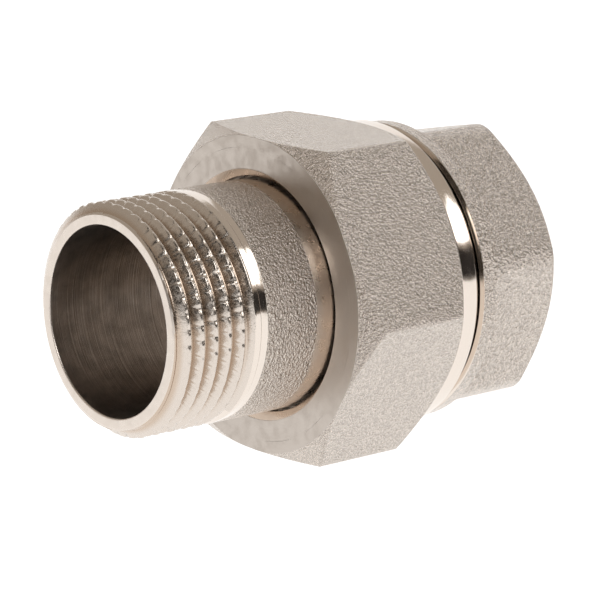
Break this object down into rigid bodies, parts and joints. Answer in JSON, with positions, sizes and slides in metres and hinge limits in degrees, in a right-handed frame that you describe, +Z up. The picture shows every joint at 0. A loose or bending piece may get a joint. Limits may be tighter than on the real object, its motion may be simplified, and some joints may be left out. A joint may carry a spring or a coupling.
{
  "type": "pipe union",
  "caption": "Straight pipe union: a male-threaded tailpiece held by a hexagonal union nut that screws on and off a female-threaded body end, sealed by an O-ring.",
  "frame": {"origin": "under the middle of the union, on the surface that the nut's lowest flat rests on; the pipe axis is 22.85 mm above it", "axes": "+X along the pipe axis from the male thread to the female socket, +Z up, square to the nut's lowest flat"},
  "size_m": [0.0668, 0.0526, 0.0457],
  "materials": {
    "plated_body": "nickel-plated, blasted as-forged hexagon and collar, turned shoulder and threads",
    "plated_nut": "nickel-plated, blasted as-forged flats and face, bright turned collar and chamfers",
    "plated_tail": "nickel-plated, turned thread, plain band and bore, blasted neck",
    "seal_rubber": "matt black elastomer"
  },
  "bodies": {
    "body_end": {"female_body": "plated_body"},
    "seal": {"seal_ring": "seal_rubber"},
    "nut": {"union_nut": "plated_nut"},
    "tail": {"male_tailpiece": "plated_tail"}
  },
  "joints": [
    {"name": "nut_travel", "type": "slide", "parent": "body_end", "child": "seal", "axis": [-1, 0, 0], "range_m": [0, 0.0121]},
    {"name": "nut_turn", "type": "hinge", "parent": "seal", "child": "nut", "pos_m": [0.0025, 0, 0.02285], "axis": [-1, 0, 0], "range_deg": [0, 2160]},
    {"name": "tail_swivel", "type": "hinge", "parent": "seal", "child": "tail", "pos_m": [-0.0125, 0, 0.02285], "axis": [-1, 0, 0], "continuous": true}
  ],
  "couplings": [
    {"joint": "nut_travel", "follows": "nut_turn", "m_per_rad": 0.00031831}
  ]
}
